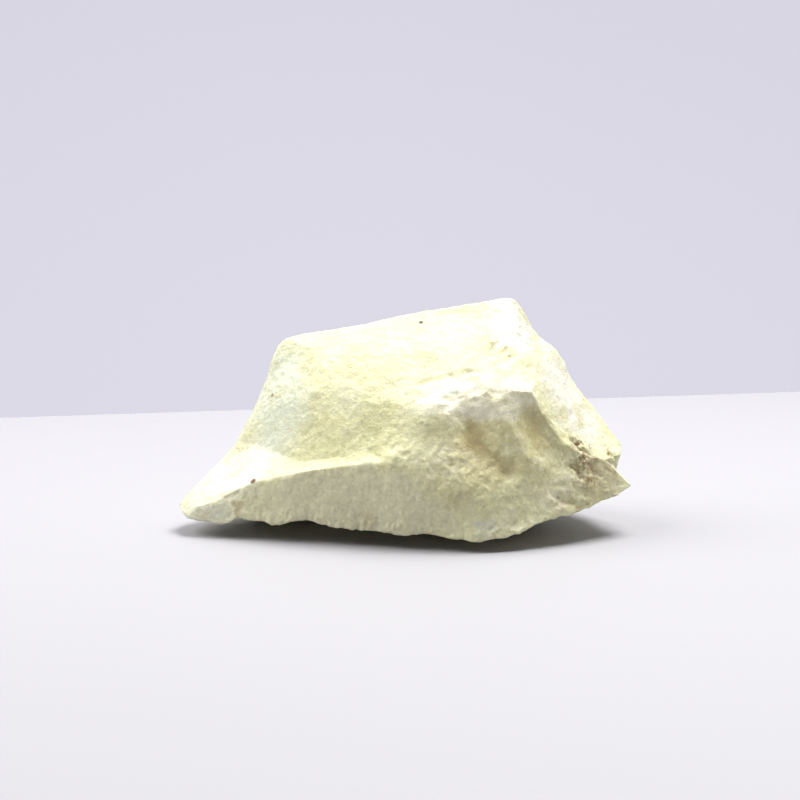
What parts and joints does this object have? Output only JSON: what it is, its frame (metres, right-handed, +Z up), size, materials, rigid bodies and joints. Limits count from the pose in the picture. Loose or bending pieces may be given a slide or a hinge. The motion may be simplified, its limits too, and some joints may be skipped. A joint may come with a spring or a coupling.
{
  "type": "spodumene specimen",
  "caption": "Broken lump of pale, massive spodumene with flat cleavage faces, a hollowed flake scar and a flat underside to rest on.",
  "frame": {"origin": "centre of the bounding box in X and Y, on the plane the stone rests on", "axes": "+Z up, +X along the length of the stone towards its high end, -Y towards the front face with the flake scar"},
  "size_m": [0.09, 0.048, 0.0462],
  "materials": {
    "spodumene": "rough broken stone with a pearly sheen on the flat faces"
  },
  "bodies": {
    "root": {"spodumene_lump": "spodumene"}
  },
  "joints": []
}
